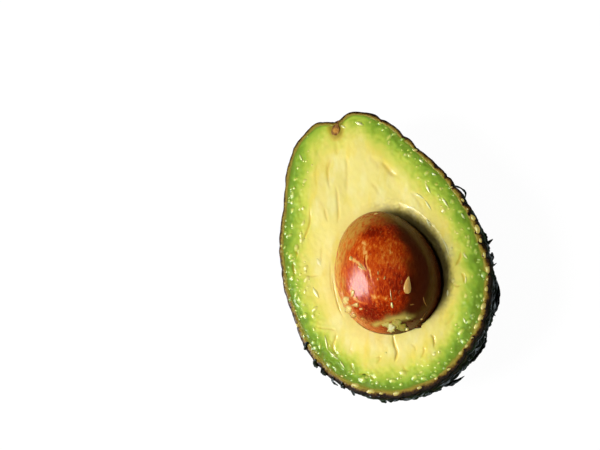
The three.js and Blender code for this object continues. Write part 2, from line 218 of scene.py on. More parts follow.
# Dark and light veins on the seed: how much lighter, half width, and the pixels along each.
SEED_VEINS = (
    (-0.5, 0.2, (364.6, 255), (364.6, 262), (365.6, 267), (368.2, 272), (369.4, 277)),
    (0.3, 0.28, (366, 256), (366, 262), (367.2, 266.5), (369.8, 272), (371, 279)),
    (0.3, 0.5, (352, 259), (357, 262), (361.5, 266), (366, 270)),
    (0.2, 0.7, (364, 242), (365, 250), (365.5, 258)),
    (0.2, 0.8, (375, 297), (384, 298), (391, 299.5)),
    (0.22, 0.5, (351, 288), (352.5, 296), (357, 301), (366, 304)),
    (0.14, 0.5, (372, 296), (376, 300), (378, 306)),
    (0.1, 0.6, (338, 258), (340, 268), (343, 276)),
    (0.08, 0.7, (385, 228), (388, 240), (391, 252)),
    (0.08, 0.5, (374, 262), (376, 276), (377, 290)),
    (0.08, 0.5, (384, 256), (385.5, 270), (386.5, 284)),
)
# Pale films of flesh on the seed: reach and pixel.
SEED_FILMS = ((2.4, (344, 301)), (2.2, (346, 310)), (1.2, (350, 317)), (1.5, (341, 295)))
# The pixels along the greenish smear at the seed's lower end.
SEED_SMEAR = ((375.5, 325), (382, 322.5), (389, 320), (395, 318.5), (401, 318), (408, 317))
# Crumbs of flesh on the seed: pixel, pixel that they point to, half sizes, taper, tone and green.
SEED_CRUMBS = (
    ((407.6, 284.5), (408.4, 274), (2.8, 1.05, 0.8), 0.6, 0.36),
    ((351, 258.5), (352, 262), (0.75, 0.62, 0.45), 0, 0.5),
    ((392, 305.3), (391, 300), (1.0, 0.36, 0.3), 0, 0.72),
    ((361, 268), (366, 271), (1.3, 0.3, 0.2), 0.3, 0.42),
    ((356.5, 298), (358, 300), (0.5, 0.26, 0.2), 0, 0.45),
    ((362.5, 318.5), (365, 320), (0.4, 0.25, 0.2), 0, 0.35),
    ((376, 213.8), (379, 213.4), (0.75, 0.3, 0.2), 0, 0.55),
    ((378, 273), (378, 270), (0.5, 0.2, 0.14), 0, 0.35),
    ((377.8, 279), (378, 276), (0.4, 0.2, 0.14), 0, 0.35),
    ((384.5, 278), (385.5, 275), (0.6, 0.2, 0.14), 0, 0.35),
    ((409, 317.5), (412, 318), (0.9, 0.4, 0.3), 0, 0.5, 0.5),
    ((421.5, 319), (423, 318), (0.5, 0.35, 0.3), 0, 0.4),
    ((407, 329), (409, 327), (0.8, 0.6, 0.5), 0, 0.55, 0.3),
)
# Fine threads on the seed: half width, height and tone, and the pixels along each.
SEED_THREADS = (
    (0.2, 0.14, 0.32, (359, 262), (361.5, 266), (366, 270)),
    (0.14, 0.12, 0.3, (390.2, 289), (390.8, 295), (391.8, 301)),
    (0.14, 0.12, 0.16, (423.5, 297), (424.2, 301), (426.5, 306)),
    (0.14, 0.1, 0.14, (410, 305), (414, 304.3)),
    (0.26, 0.22, 0.05, (404, 333), (412, 328.5), (420, 321), (427, 311)),
)
# The torn tissue that ties the seed's lower end to the flesh: its middle, its reach in pixels to
# the right, top, left and bottom, and its height, whiteness and green.
TISSUE = (
    ((391.5, 328), (4, 5.5, 4.5, 5), 0.3, 0.9, 0), ((386, 324.5), (5, 2.5, 5, 3), 0.12, 0.62, 0.35),
    ((396.5, 322.5), (5, 4, 5, 5), 0.16, 0.56, 0.5), ((402, 327), (5, 3, 5, 4), 0.24, 0.34, 0.5),
    ((408, 318), (3, 1.2, 3, 1.4), 0.3, 0.8, 0.2), ((414, 325), (9, 6, 8, 3), 0.3, -0.05, 0),
)
# Torn shreds of the seed's coat on its left, in the same way.
SHREDS = (
    ((345.5, 300), (4, 4, 3, 5), 0.12, 0.6), ((348, 309), (4, 4, 3, 5), 0.14, 0.62),
    ((355, 305), (5, 2, 3, 2), 0.16, 0.5), ((353.5, 315.5), (3, 2.5, 2.5, 2.5), 0.12, 0.45),
    ((352.5, 293), (1.6, 4, 1.4, 4), 0.16, 0.6), ((361, 309), (2.5, 1, 2, 1), 0.14, 0.45),
)
# How far the peel stands out at the cut beyond its smooth form, at angles round from the stem end.
EDGE_ANGLES = (-180, -150, -125, -108, -95, -20, 20, 60, 90, 105, 120, 150, 180)
EDGE_REACH = (1.0, 0.9, 0.65, 0.4, 0.15, 0.1, 0.1, 0.15, 0.3, 0.3, 0.6, 0.5, 0.9)
# How much further it stands out in its belly below the cut.
BELLY_ANGLES = (-180, -150, -120, -90, -30, 30, 60, 90, 110, 125, 145, 165, 180)
BELLY_REACH = (0.7, 0.6, 0.3, 0.2, 0.1, 0.1, 0.2, 0.3, 0.3, 0.8, 0.2, 0.9, 0.7)
# The peel's outline goes in and out where its pebbles are cut.
SCALLOP_PITCH, SCALLOP_HEIGHT = 5.8, 0.6

# How far in from the skin the flesh is butter yellow.
YELLOW_GAP = 13
# How much less green the margin is, in millimetres: angle round from the stem end, close to the
# skin, and 10 mm in from it.
TONES = (
    (-180, 0.7, 0), (-165, 0.3, 0), (-140, -0.6, 0), (-115, -0.6, 0), (-90, 1.0, 0),
    (-65, 0.8, -0.4), (-50, 0.4, -1), (-32, 0.5, -2.6), (-20, 0.5, -3.2), (-8, 2.4, -3.3),
    (4, 4.8, -4), (16, 0.4, -3.2), (28, 0.3, -2.8), (40, 0.3, -1.8), (52, 0.4, -0.5), (65, 0.2, 0),
    (90, 0.1, 0), (112, -0.5, 0), (140, -2.0, 0), (165, 0.1, 0),
)
# The stub along its length, inwards from its outer end: how far in, its radius, how far it has bent
# to the left, and the height of its top.
STEM_PROFILE = (
    (0, 0.6, 0, -0.1), (0.5, 1.0, 0.1, 0.1), (1.1, 0.95, 0.5, 0.3), (1.6, 1.1, 0.9, 0.5),
    (2.1, 1.35, 1.1, 0.62), (2.7, 1.6, 1.35, 0.74), (3.4, 1.7, 1.5, 0.78), (4.2, 1.5, 1.6, 0.74),
    (4.8, 1.0, 1.6, 0.66), (5.2, 0.5, 1.6, 0.6),
)

# The camera's azimuth, elevation and roll, its distance, and its lens and sensor.
CAMERA_ANGLES = (31.4, 66, -53.1)
CAMERA_DISTANCE, LENS, SENSOR_WIDTH = 468.8, 85, 36
# The cavity's middle stands this far right of and above the picture's middle.
AIM_RIGHT, AIM_UP = 29.1, -15.6

# How finely each surface is made.
SKIN_ROWS, SKIN_COLUMNS, INSIDE_ROWS = 132, 576, 12
FLESH_SPOKES, FACE_RINGS, CAVITY_RINGS, UNDER_RINGS = 760, 98, 16, 7
SEED_RINGS, SEED_COLUMNS = 230, 310
SCALE_RINGS, SCALE_COLUMNS, FLAP_COLUMNS, DOME_COLUMNS = 26, 12, 14, 12
CRUMB_RINGS, CRUMB_COLUMNS, FILM_RINGS, FILM_COLUMNS = 12, 16, 16, 72
STEM_RINGS = STEM_COLUMNS = 56

# How far out from its top a dome has its rings, and how far across it a ridge has its points, the
# last two under it, as shares of its half width.
DOME_STEPS = (0.18, 0.36, 0.54, 0.72, 0.88, 1.0)
RIDGE_STEPS = (-1, -0.72, -0.46, -0.22, 0, 0.22, 0.46, 0.72, 1, 0.5, -0.5)

# Half the table's width, and how far the lamps stand off, in metres.
FLOOR_HALF, LAMP_DISTANCE = 3.0, 1.2
WHITE = (1, 1, 1, 1)
MM = 0.001
UP = np.array([0, 0, 1.0])
LEVEL = np.array([1, 1, 0])
# The highest that a point of a scale stands, just under the cut.
BELOW_CUT = (np.inf, np.inf, -0.05)

# ---------- Arithmetic ----------


def smoothstep(x, low, high):
    t = np.clip((x - low) / (high - low), 0, 1)
    return t * t * (3 - 2 * t)


def fade(x, low, high):
    return 1 - smoothstep(x, low, high)


def turns(count):
    return np.arange(count) * 2 * pi / count


def at(x, y, z):
    """Points or directions from their coordinates, spread to one shape."""
    return np.stack(np.broadcast_arrays(x, y, z), -1)


def split(points):
    return np.moveaxis(points, -1, 0)


def circle(angle):
    return at(np.cos(angle), np.sin(angle), 0)


def size_of(vectors):
    return np.linalg.norm(vectors, axis=-1)


def unit(vectors):
    return vectors / np.maximum(size_of(vectors)[..., None], 1e-9)


def stepped(points, *steps):
    """Points moved by distances along directions."""
    for distance, way in steps:
        points = points + distance[..., None] * way
    return points


def noise_at(points, size, seed=0.0):
    """Smooth noise from -1 to 1 at each point, with lumps `size` across (one number or three)."""
    scaled = points / np.asarray(size, float) + seed
    values = [noise.noise(Vector(p)) for p in scaled.reshape(-1, 3)]
    return np.array(values).reshape(points.shape[:-1])


def domes_at(points, pitch, seed=0.0):
    """Rounded pebbles that meet in valleys: 1 on each top and 0 where two meet."""
    scaled = (points / pitch + seed).reshape(-1, 3)
    nearest, second = np.array([noise.voronoi(Vector(p))[0][:2] for p in scaled]).T
    return (1 - (nearest / second) ** 2).reshape(points.shape[:-1])


def smooth_line(points, steps=10):
    """A Catmull-Rom curve through points of the face."""
    p = [np.array(q, float) for q in points]
    p = [2 * p[0] - p[1], *p, 2 * p[-1] - p[-2]]
    line = []
    for a, b, c, d in zip(p, p[1:], p[2:], p[3:]):
        for t in np.arange(steps) / steps:
            bend = (2 * a - 5 * b + 4 * c - d) * t**2 + (3 * b - a - 3 * c + d) * t**3
            line.append(0.5 * (2 * b + (c - a) * t + bend))
    return np.array([*line, p[-2]])


def stroke(x, y, along, width):
    """How much a tapered stroke covers each point of the face, from 0 to 1."""
    line = smooth_line(along)
    cover = np.zeros(x.shape)
    low, high = line.min(0) - 3 * width, line.max(0) + 3 * width
    near = (x > low[0]) & (x < high[0]) & (y > low[1]) & (y < high[1])
    from_start = np.stack([x[near], y[near]], -1)[:, None] - line[:-1]
    leg = np.diff(line, axis=0)
    t = np.clip((from_start * leg).sum(-1) / (leg**2).sum(-1), 0, 1)
    distance = size_of(from_start - t[..., None] * leg)
    nearest = distance.argmin(1)[:, None]
    share = (nearest + np.take_along_axis(t, nearest, 1))[:, 0] / len(leg)
    taper = smoothstep(np.minimum(share, 1 - share), 0, 0.3)
    from_line = distance.min(1) / (width * (0.6 + 0.4 * taper))
    cover[near] = taper * np.exp(-(from_line**2))
    return cover


# ---------- The fruit's form ----------


def cosine_series(values):
    """A smooth curve through values at equal steps from 0 to 180 degrees, level at both ends."""
    k = np.arange(len(values))
    share = np.where((k == 0) | (k == k[-1]), 0.5, 1)
    factors = 2 / k[-1] * share * (np.cos(pi * np.outer(k, k) / k[-1]) @ (share * values))
    return lambda angle: sum(f * np.cos(i * angle) for i, f in enumerate(factors))


left_radius = cosine_series(LEFT_RADII)
right_radius = cosine_series(RIGHT_RADII)
STEM_DIRECTION = unit(np.array([STEM_X, LEFT_RADII[0], 0]))


def fruit_radius(direction):
    """Distance from the fruit's origin to the smooth outside in each direction."""
    x, y, z = split(direction)
    from_stem = np.arccos(np.clip(y, -1, 1))
    right_share = (1 + x / np.maximum(np.hypot(x, z), 1e-9)) / 2
    form = left_radius(from_stem) * (1 - right_share) + right_radius(from_stem) * right_share
    angle = np.arccos(np.clip(direction @ STEM_DIRECTION, -1, 1))
    return form - DIMPLE_DEPTH * np.exp(-((angle * form / DIMPLE_RADIUS) ** 2))


def fruit_at(direction, depth=0):
    """The points at a depth under the smooth outside in each direction."""
    return direction * (fruit_radius(direction) - depth)[..., None]


def direction_at(around, below=0):
    """The direction at an angle round from the stem end and an angle below the cut, in radians."""
    return at(np.sin(around) * np.cos(below), np.cos(around) * np.cos(below), -np.sin(below))


def seed_sizes(x, y):
    """The seed's half width on the side of x, and its narrowing at a share of its length."""
    return np.where(x < 0, SEED_LEFT, SEED_RIGHT), 1 - SEED_TAPER * y


def on_egg(direction, width=1, length=1, depth=1, shift=0):
    """Points of the seed's egg form, scaled and moved sideways for the cavity that holds it."""
    x, y, z = split(direction)
    half_width, narrowing = seed_sizes(x, y)
    return at(
        x * half_width * width * narrowing + shift,
        y * SEED_LENGTH * length,
        z * SEED_DEPTH * depth * narrowing + SEED_LIFT,
    )


def on_cavity(direction):
    return on_egg(direction, *CAVITY)


def in_seed(points):
    """Points in the seed's own sizes, in which its surface is 1 from its middle."""
    x, y, z = split(points)
    half_width, narrowing = seed_sizes(x, y / SEED_LENGTH)
    return at(
        x / (narrowing * half_width), y / SEED_LENGTH, (z - SEED_LIFT) / SEED_DEPTH / narrowing
    )


# ---------- The camera's view of it ----------


def camera_axes():
    """The camera's right, up and back directions."""
    azimuth, elevation, roll = map(radians, CAMERA_ANGLES)
    level = np.array([cos(azimuth), sin(azimuth), 0])
    back = [sin(azimuth) * cos(elevation), -cos(azimuth) * cos(elevation), sin(elevation)]
    right = level * cos(roll) + np.cross(back, level) * sin(roll)
    return right, np.cross(back, right), np.array(back)


RIGHT, UPWARD, BACK = camera_axes()
EYE = CAMERA_DISTANCE * BACK - AIM_RIGHT * RIGHT - AIM_UP * UPWARD


def sight_line(x, y):
    """Direction from the camera through each pixel of the photograph."""
    per_pixel = SENSOR_WIDTH / PHOTO[0] / LENS
    x, y = (np.asarray(v, float)[..., None] for v in (x, y))
    across, above = (x - PHOTO[0] / 2) * per_pixel, (PHOTO[1] / 2 - y) * per_pixel
    return unit(across * RIGHT + above * UPWARD - BACK)


def at_height(ray, height):
    """Where sight lines come to a height over the cut."""
    return EYE + ray * ((height - EYE[2]) / ray[..., 2:])


def on_face(x, y, height=0.4):
    """The point of the cut face that a pixel of the photograph shows."""
    return at_height(sight_line(x, y), height)[:2]


def on_seed(x, y):
    """The points of the seed that pixels of the photograph show, with their outward normals."""
    ray = sight_line(x, y)
    near = ((SEED_LIFT * UP - EYE) * ray).sum(-1) - SEED_LENGTH
    far = near + SEED_LENGTH
    for _ in range(40):
        halfway = (near + far) / 2
        points = EYE + ray * halfway[..., None]
        local = in_seed(points)
        outside = (local**2).sum(-1) > 1
        near, far = np.where(outside, halfway, near), np.where(outside, far, halfway)
    return points, unit(local / [SEED_DEPTH, SEED_LENGTH, SEED_DEPTH])


# ---------- Meshes ----------


def fruit_origin():
    """The fruit's origin in the row frame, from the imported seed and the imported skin's rim."""
    low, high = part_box("seed")
    return np.array([(low.x + high.x) / 2, (low.y + high.y) / 2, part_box("skin")[1].z])


ORIGIN = fruit_origin()


def to_row(points):
    return points * MM + ORIGIN


def mesh_object(name, points, faces, attributes):
    """A smooth-shaded object from points of the fruit's frame, with its faces pointing out."""
    mesh = bpy.data.meshes.new(name)
    mesh.from_pydata(to_row(points).tolist(), [], faces)
    p = points[np.array([f[:3] for f in faces])]
    if np.einsum("ij,ij->i", p[:, 0], np.cross(p[:, 1], p[:, 2])).sum() < 0:
        mesh.flip_normals()
    for key, values in attributes.items():
        layer = mesh.attributes.new(key, "FLOAT", "POINT")
        layer.data.foreach_set("value", np.asarray(values, np.float32).ravel())
    mesh.polygons.foreach_set("use_smooth", [True] * len(mesh.polygons))
    mesh.update()
    return linked(name, mesh)


def linked(name, data):
    """An object in the scene."""
    made = bpy.data.objects.new(name, data)
    bpy.context.scene.collection.objects.link(made)
    return made


def loft(rings, start, end, **attributes):
    """Points, faces and attributes of a closed surface: rings of points between two poles."""
    rows, columns = rings.shape[:2]
    points = np.concatenate([rings.reshape(-1, 3), [start, end]])
    first, last = rows * columns, rows * columns + 1
    faces = []
    for j in range(columns):
        k = (j + 1) % columns
        for i in range(rows - 1):
            a, b = i * columns, (i + 1) * columns
            faces.append((a + j, a + k, b + k, b + j))
        faces.append((first, k, j))
        b = (rows - 1) * columns
        faces.append((last, b + j, b + k))
    values = {}
    for key, value in attributes.items():
        v = np.broadcast_to(value, (rows, columns))
        values[key] = np.concatenate([v.ravel(), [v[0].mean(), v[-1].mean()]])
    return points, faces, values


def joined(parts):
    """Several lofts as one."""
    points, faces, values, count = [], [], {}, 0
    for part_points, part_faces, part_values in parts:
        faces += [tuple(i + count for i in f) for f in part_faces]
        points.append(part_points)
        count += len(part_points)
        for key, v in part_values.items():
            values.setdefault(key, []).append(v)
    return np.concatenate(points), faces, {k: np.concatenate(v) for k, v in values.items()}


def over(stretches, *values):
    """A value over stretches of rings, from what it is on each."""
    return np.concatenate([np.broadcast_to(v, s.shape[:2]) for s, v in zip(stretches, values)])


def dress(name, part, slot, material, *nodes):
    """A piece with its finish, which rides on the part and stands for the nodes it replaces."""
    made = mesh_object(name, *part)
    made.data.materials.append(material)
    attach(made, "root")
    if nodes:
        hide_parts(*nodes)
    return made


# ---------- Materials ----------


class Value:
    """What a node of a material gives. Arithmetic with it adds nodes."""

    def __init__(self, finish, socket):
        self.finish, self.socket = finish, socket

    def __add__(self, other):
        return self.finish.maths("ADD", self, other)

    def __sub__(self, other):
        return self.finish.maths("SUBTRACT", self, other)

    def __mul__(self, other):
        return self.finish.maths("MULTIPLY", self, other)

    def ranged(self, low, high, new_low=0.0, new_high=1.0):
        """The value brought from one range to another, and held inside it."""
        ends = {"From Min": low, "From Max": high, "To Min": new_low, "To Max": new_high}
        return self.finish.add("MapRange", "Result", {"Value": self, **ends})


# The shader's sockets that a finish gives together.
COAT = ("Coat Weight", "Coat Roughness", "Coat IOR")
SOFT = ("Subsurface Weight", "Subsurface Scale", "Subsurface Radius")


class Finish:
    """A material whose even values are set on its shader's own sockets, and the rest by nodes."""

    def __init__(self, name, specular, coat=(), soft=(), **even):
        self.material = bpy.data.materials.new(name)
        self.material.use_nodes = True
        self.tree = self.material.node_tree
        self.shader = self.tree.nodes["Principled BSDF"]
        even |= {"Specular IOR Level": specular, **dict(zip(COAT, coat)), **dict(zip(SOFT, soft))}
        for key, value in even.items():
            self.feed(self.shader.inputs[key.replace("_", " ")], value)

    def feed(self, socket, value):
        """Links what a node gives to a socket, or sets the socket to a number or a colour."""
        if isinstance(value, Value):
            self.tree.links.new(value.socket, socket)
        else:
            socket.default_value = value

    def add(self, kind, output, inputs, **settings):
        """What a new node gives at one of its outputs, from its inputs and settings."""
        node = self.tree.nodes.new("ShaderNode" + kind)
        for key, value in settings.items():
            setattr(node, key, value)
        for key, value in inputs.items():
            self.feed(node.inputs[key], value)
        return Value(self, node.outputs[output])

    def maths(self, operation, *values):
        return self.add("Math", "Value", dict(enumerate(values)), operation=operation)

    def __getitem__(self, name):
        """One of the mesh's attributes."""
        return self.add("Attribute", "Fac", {}, attribute_name=name)

    def place(self, size, stretch=1, seed=0, turn=0):
        """Where a point of the part is, in units of `size` millimetres."""
        place = self.add("TexCoord", "Object", {})
        if turn:
            inputs = {"Vector": place, "Angle": radians(turn)}
            place = self.add("VectorRotate", "Vector", inputs, rotation_type="Z_AXIS")
        scale = (1 / (MM * size), 1 / (MM * size * stretch), 1 / (MM * size))
        inputs = {"Vector": place, "Scale": scale, "Location": (seed, seed, seed)}
        return self.add("Mapping", "Vector", inputs)

    def noise(self, place, detail, roughness=0.5):
        inputs = {"Vector": place, "Scale": 1, "Detail": detail, "Roughness": roughness}
        return self.add("TexNoise", "Fac", inputs)

    def lumps(self, size, stretch=1, detail=3, roughness=0.5, seed=0):
        """Noise from 0 to 1, with lumps `size` millimetres across and stretched with the grain."""
        return self.noise(self.place(size, stretch, seed, GRAIN), detail, roughness)

    def cells(self, size):
        """Distance to the nearest of scattered points `size` millimetres apart, in that size."""
        return self.add("TexVoronoi", "Distance", {"Vector": self.place(size), "Scale": 1})

    def ramp(self, value, *stops):
        """The colour at a value, from stops of place, red, green and blue."""
        given = self.add("ValToRGB", "Color", {"Fac": value})
        elements = given.socket.node.color_ramp.elements
        while len(elements) < len(stops):
            elements.new(0.5)
        for element, (place, *shade) in zip(elements, stops):
            element.position, element.color = place, (*shade, 1)
        return given

    def layered(self, base, *layers):
        """A colour with others mixed over it, each by its share."""
        # A mix has sockets for several types: these are its colours and its plain share.
        share_input, first_input, second_input, result = 0, 6, 7, 2
        for share, shade in layers:
            shade = shade if isinstance(shade, Value) else (*shade, 1)
            inputs = {share_input: share, first_input: base, second_input: shade}
            base = self.add("Mix", result, inputs, data_type="RGBA")
        return base

    def finished(self, base, rough, *bumps):
        """The material, with its colour, its roughness and its bumps: pattern and millimetres."""
        inputs = {}
        for height, depth in bumps:
            inputs |= {"Height": height, "Distance": depth * MM, "Strength": 1}
            inputs["Normal"] = self.add("Bump", "Normal", inputs)
        ends = {"Base Color": base, "Roughness": rough, "Normal": inputs["Normal"]}
        for key, value in ends.items():
            self.feed(self.shader.inputs[key], value)
        return self.material


def skin_material():
    """Green-black peel, with paler blue-grey fibres where it is torn, their blue-grey partly a
    painted sheen, and small glints on its pebbles.
    """
    m = Finish("avocado_skin", 0.08, coat=(0.22, 0.14))
    outside = m.ramp(
        m["pebble"] * 0.35 + m.lumps(9),
        (0.42, 0.003, 0.004, 0.003),
        (0.66, 0.007, 0.012, 0.005),
        (0.9, 0.016, 0.038, 0.009),
    )
    speckle = m.cells(3.2).ranged(0.1, 0.2, 1, 0)
    # Strands along the torn parts: `run` goes along them and `down` across them, in millimetres.
    along = m["run"] * 0.17
    across = (m["down"] + m.lumps(3, detail=2) * 2.2) * 1.5
    strands = m.noise(m.add("CombineXYZ", "Vector", {"X": along, "Y": across}), 3)
    torn = m["torn"]
    # Paler fibres where the peel is torn; their blue-grey colour is partly a painted sheen.
    fibres = strands.ranged(0.53, 0.62) * (m.lumps(2.6).ranged(0.34, 0.5) * torn)
    rust = m.lumps(0.9, seed=4).ranged(0.54, 0.66) * m["rim"]
    outside = m.layered(
        outside,
        (speckle * 0.3, (0.03, 0.07, 0.012)),
        (fibres * 0.85, (0.33, 0.39, 0.42)),
        (rust, (0.1, 0.055, 0.014)),
    )
    rough = m.lumps(1.2, detail=2).ranged(0.3, 0.7, 0.4, 0.65)
    bumps = (m.lumps(0.5, detail=4), 0.1), (m.cells(0.8), 0.07), (strands * torn, 0.25)
    return m.finished(outside, rough, *bumps)


def cut_edge_material():
    """The peel's cut edge: near black outside, then brown, tan and olive towards the flesh."""
    m = Finish("avocado_cut_edge", 0.1, coat=(0.12, 0.15), soft=(0.1, 0.001))
    fine, broad = (m.lumps(0.7) - 0.5) * 0.5, (m.lumps(3, detail=2) - 0.5) * 0.35
    base = m.ramp(
        m["cut"] + (fine + broad),
        (0.2, 0.006, 0.004, 0.002),
        (0.34, 0.03, 0.013, 0.004),
        (0.46, 0.12, 0.06, 0.008),
        (0.6, 0.25, 0.17, 0.02),
        (0.76, 0.33, 0.26, 0.032),
        (1.0, 0.29, 0.29, 0.028),
    )
    rough = m.lumps(0.8, detail=2).ranged(0.3, 0.7, 0.45, 0.75)
    return m.finished(base, rough, (m.lumps(0.5), 0.1))


def flesh_material():
    """Moist flesh: bright green under the skin, through lime to butter yellow round the seed, with
    painted shade in its creases, a painted shadow beside the seed and painted highlights on its
    drops and streaks.
    """
    m = Finish("avocado_flesh", 0.12, (0.27, 0.12, 1.8), (0.3, 0.002, (1.0, 0.8, 0.25)))
    tone = m["tone"] + (m.lumps(5) - 0.5) * 0.16
    tone = tone + (m.lumps(0.9, 4) - 0.5) * 0.07
    base = m.ramp(
        tone,
        (0.0, 0.29, 0.26, 0.025),
        (0.07, 0.165, 0.275, 0.02),
        (0.2, 0.26, 0.44, 0.036),
        (0.35, 0.46, 0.6, 0.06),
        (0.51, 0.71, 0.73, 0.11),
        (0.74, 0.87, 0.77, 0.17),
        (1.0, 0.93, 0.81, 0.26),
    )
    inner = tone.ranged(0.45, 0.8)
    cream = m.lumps(5, 2.4, seed=6).ranged(0.5, 0.66) * inner
    gold = m.lumps(4, 3, seed=8).ranged(0.54, 0.7) * inner
    base = m.layered(base, (cream * 0.5, (0.97, 0.9, 0.42)), (gold * 0.55, (0.9, 0.72, 0.09)))
    # Painted shade in the creases, with a brown stain round the stem; brown near the cavity,
    # deepened by a painted shadow on the right; and painted highlights on drops and streaks.
    base = m.layered(
        base,
        (m["crease_shade_and_stain"], m.layered(base, (0.6, (0.66, 0.42, 0.03)))),
        (m["browned_and_shadow"], (0.11, 0.055, 0.003)),
        (m["wet"], (0.9, 0.95, 0.5)),
    )
    rough = m.lumps(1.6).ranged(0.3, 0.7, 0.3, 0.52)
    return m.finished(base, rough, (m.lumps(1.6, 1.8), 0.09), (m.lumps(0.35, detail=2), 0.015))


def flake_material():
    """Moist bits of flesh and seed coat, from red brown through tan to cream or green."""
    m = Finish("avocado_flakes", 0.1, (0.2, 0.1, 1.8), (0.4, 0.001, (1.0, 0.8, 0.4)))
    base = m.ramp(
        m["tone"] + m.lumps(0.8, detail=2) * 0.16,
        (0.08, 0.12, 0.03, 0.008),
        (0.3, 0.52, 0.24, 0.05),
        (0.55, 0.72, 0.48, 0.14),
        (0.8, 0.86, 0.76, 0.28),
        (1.0, 0.94, 0.92, 0.62),
    )
    base = m.layered(base, (m["green"], (0.42, 0.46, 0.06)))
    return m.finished(base, 0.4, (m.lumps(0.6), 0.08))


def seed_material():
    """Glossy seed: orange red mottled with deep red and tan streaks, olive brown towards the stem
    end, and brown to near black on its right, partly painted shade.
    """
    m = Finish("avocado_seed", 0.02, (0.1, 0.2, 3.0), (0.08, 0.001, (1.0, 0.3, 0.1)))
    streaks = m.lumps(0.8, 3, 4, 0.72)
    patches = m.lumps(7, 1.3, 2, seed=3)
    base = m.ramp(
        streaks * 0.78 + patches * 0.22 + m["pale"],
        (0.3, 0.2, 0.01, 0.001),
        (0.42, 0.42, 0.03, 0.002),
        (0.52, 0.56, 0.07, 0.004),
        (0.61, 0.66, 0.16, 0.014),
        (0.7, 0.78, 0.4, 0.1),
    )
    flecks = m.lumps(0.5, 2.4, 2).ranged(0.6, 0.68)
    mottle = m.lumps(1.1, 2.4, 4, seed=2).ranged(0.38, 0.6, 0.2, 1.2)
    # Brown and near black on the side turned from the lamps: partly the seed's own brown, partly
    # painted shade.
    base = m.layered(
        base,
        (flecks * 0.22, (0.72, 0.34, 0.08)),
        (m["brown"], (0.06, 0.012, 0.002)),
        (m["tan"] * mottle, (0.42, 0.15, 0.012)),
        (m["olive"], (0.15, 0.065, 0.006)),
        (m["dark"], (0.08, 0.012, 0.002)),
        (m["film"] * mottle, (0.7, 0.4, 0.07)),
        (m["smear"], (0.66, 0.54, 0.11)),
    )
    rough = streaks.ranged(0.3, 0.7, 0.2, 0.42)
    return m.finished(base, rough, (streaks, 0.09), (m.cells(1.5).ranged(0, 0.22), 0.03))


def stem_material():
    """Dry brown wood, rough and darker in its hollows."""
    m = Finish("avocado_stem", 0.3)
    grain = m.lumps(0.5, 3, 4)
    bark = ((0.3, 0.1, 0.035, 0.006), (0.5, 0.22, 0.085, 0.013), (0.7, 0.36, 0.17, 0.03))
    core = m.ramp(grain, (0.3, 0.42, 0.17, 0.016), (0.7, 0.64, 0.33, 0.045))
    base = m.layered(m.ramp(grain, *bark), (m["core"], core))
    return m.finished(base, grain.ranged(0.3, 0.7, 0.9, 0.65), (grain, 0.2))


# ---------- The skin ----------


def scallop_at(around):
    """How far the cut outline stands off at each angle round it."""
    wander = circle(around)
    place = RIM_RADIUS * around / SCALLOP_PITCH + 0.6 * noise_at(wander, 0.16, 3.0)
    swell = 1 + 0.5 * noise_at(wander, 0.3, 9.0)
    uneven = 0.9 + 0.55 * np.sin(around - 0.25)
    return SCALLOP_HEIGHT * swell * uneven * (0.42 - (2 * (place % 1) - 1) ** 2)


def belly_at(around, below):
    """How much the peel stands out over its smooth form: a ragged edge at the cut, and a belly
    below it, fullest at the blunt end and on the right."""
    angle, deep = (np.degrees(around) + 180) % 360 - 180, np.degrees(below)
    edge = np.interp(angle, EDGE_ANGLES, EDGE_REACH)
    belly = np.interp(angle, BELLY_ANGLES, BELLY_REACH)
    return (edge + belly * smoothstep(deep, 0, 17)) * fade(deep, 34, 62)


def peel_at(direction, height=0):
    """The points at a height over the bellied peel in each direction."""
    x, y, z = split(direction)
    return fruit_at(direction, -belly_at(np.arctan2(x, y), np.arcsin(-z)) - height)


def on_peel(x, y):
    """Where each pixel's sight line meets the peel, or comes nearest to it."""
    points = at_height(sight_line(x, y)[:, None], np.linspace(0.5, -22, 360)[:, None])
    above_peel = size_of(points) - size_of(peel_at(unit(points)))
    met = above_peel < 0
    first = np.where(met.any(1), met.argmax(1), above_peel.argmin(1))
    return points[np.arange(len(points)), first]


def streaks_at(around, deep):
    """Fibrous ridges along the rim where the peel is torn, on the right and at the blunt end."""
    place = at(around * RIM_RADIUS, deep * DOWN_PER_DEGREE, 0)
    torn = smoothstep(np.cos(around - radians(145)), -0.3, 0.5)
    torn = torn * smoothstep(deep, 1, 6) * fade(deep, 38, 60)
    ridged = 1 - 2 * np.abs(noise_at(place, (7, 1.5, 1)))
    fine = noise_at(place, (3, 0.6, 1), 4.0)
    return torn * (0.45 * ridged + 0.15 * fine), torn * fade(deep, 16, 36)


def skin_relief(points):
    """Height of the pebbled skin over the smooth form, bare near the flat spot."""
    large, small = domes_at(points, LARGE_PITCH), domes_at(points, SMALL_PITCH, 5.3)
    relief = LARGE_HEIGHT * large + SMALL_HEIGHT * small + 0.15 * noise_at(points, 7) - 0.65
    shown = smoothstep(size_of(points - FOOT_HEIGHT * UP), FOOT_BARE, FOOT_PEBBLED)
    return relief * (0.25 + 0.75 * shown), large * 0.6 + small * 0.4


def surface_normals(rings):
    """Outward unit normals of a grid of points that closes round its columns."""
    wrapped = np.concatenate([rings[:, -1:], rings, rings[:, :1]], axis=1)
    normals = unit(np.cross((wrapped[:, 2:] - wrapped[:, :-2]) / 2, np.gradient(rings, axis=0)))
    return normals * np.sign((normals * rings).sum(-1).mean())


